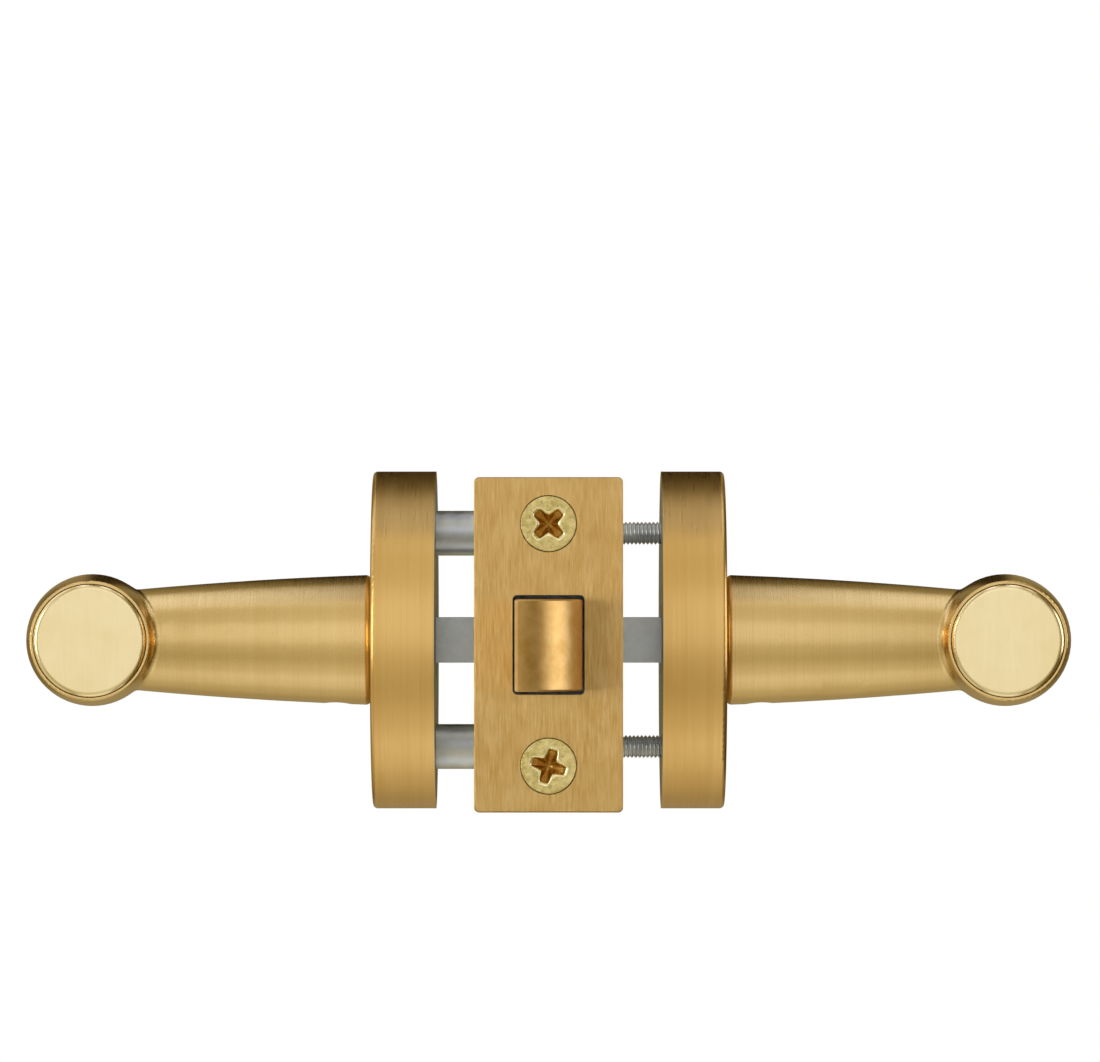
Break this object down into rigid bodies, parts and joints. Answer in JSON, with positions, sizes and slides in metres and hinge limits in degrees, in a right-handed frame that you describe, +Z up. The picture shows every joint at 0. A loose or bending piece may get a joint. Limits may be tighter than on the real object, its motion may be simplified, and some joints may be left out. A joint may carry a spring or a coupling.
{
  "type": "tubular door latch",
  "caption": "Tubular spring latch with a square faceplate and bevelled bolt, worked by a spindle with round roses and straight lever handles on both sides.",
  "frame": {"origin": "on the latch's axis, at the rear face of the backing plate, where the latch sits in the door's edge", "axes": "+Y goes into the door, along the latch's axis; +X goes through the door towards the bolt's bevelled side; +Z is up"},
  "size_m": [0.1858, 0.1746, 0.06],
  "materials": {
    "satin_brass": "satin brushed round the turned shapes",
    "brushed_brass": "coarse brushed along its length",
    "blasted_brass": "fine blasted",
    "yellow_zinc": "yellow zinc plate",
    "zinc_steel": "bright zinc plate",
    "sintered_steel": "sintered",
    "cast_zinc": "as die-cast",
    "spring_steel": "drawn wire",
    "black_steel": "black oxide",
    "nylon": "moulded"
  },
  "bodies": {
    "fixed": {"faceplate": "brushed_brass", "backing_plate": "zinc_steel", "faceplate_screws": "yellow_zinc", "latch_tube": "zinc_steel", "spring_stop": "zinc_steel", "bolt_spring": "spring_steel", "case_rivets": "zinc_steel", "fixing_sleeves": "zinc_steel", "clamp_screws": "zinc_steel", "case_cheek_left": "zinc_steel", "rose_cover_left": "satin_brass", "rose_bush_left": "nylon", "base_plate_left": "cast_zinc", "return_spring_left": "spring_steel", "case_cheek_right": "zinc_steel", "rose_cover_right": "satin_brass", "rose_bush_right": "nylon", "base_plate_right": "cast_zinc", "return_spring_right": "spring_steel"},
    "handles": {"hub": "sintered_steel", "spindle": "zinc_steel", "lever_left": "satin_brass", "end_cap_left": "satin_brass", "grub_screw_left": "black_steel", "spring_carrier_left": "cast_zinc", "lever_right": "satin_brass", "end_cap_right": "satin_brass", "grub_screw_right": "black_steel", "spring_carrier_right": "cast_zinc"},
    "bolt": {"latch_bolt": "blasted_brass", "bolt_stem": "zinc_steel", "draw_fork": "zinc_steel"}
  },
  "joints": [
    {"name": "handle_turn", "type": "hinge", "parent": "fixed", "child": "handles", "pos_m": [0, 0.056, 0], "axis": [-1, 0, 0], "range_deg": [0, 62], "stiffness_Nm_per_rad": 0.9, "springref_deg": -34.38, "deforming": ["return_spring_left", "return_spring_right"]},
    {"name": "bolt_slide", "type": "slide", "parent": "fixed", "child": "bolt", "axis": [0, 1, 0], "range_m": [0, 0.01069], "stiffness_N_per_m": 300, "springref_m": -0.01, "deforming": ["bolt_spring"]}
  ],
  "couplings": [
    {"joint": "bolt_slide", "follows": "handle_turn", "m_per_rad": 0.0098733}
  ]
}
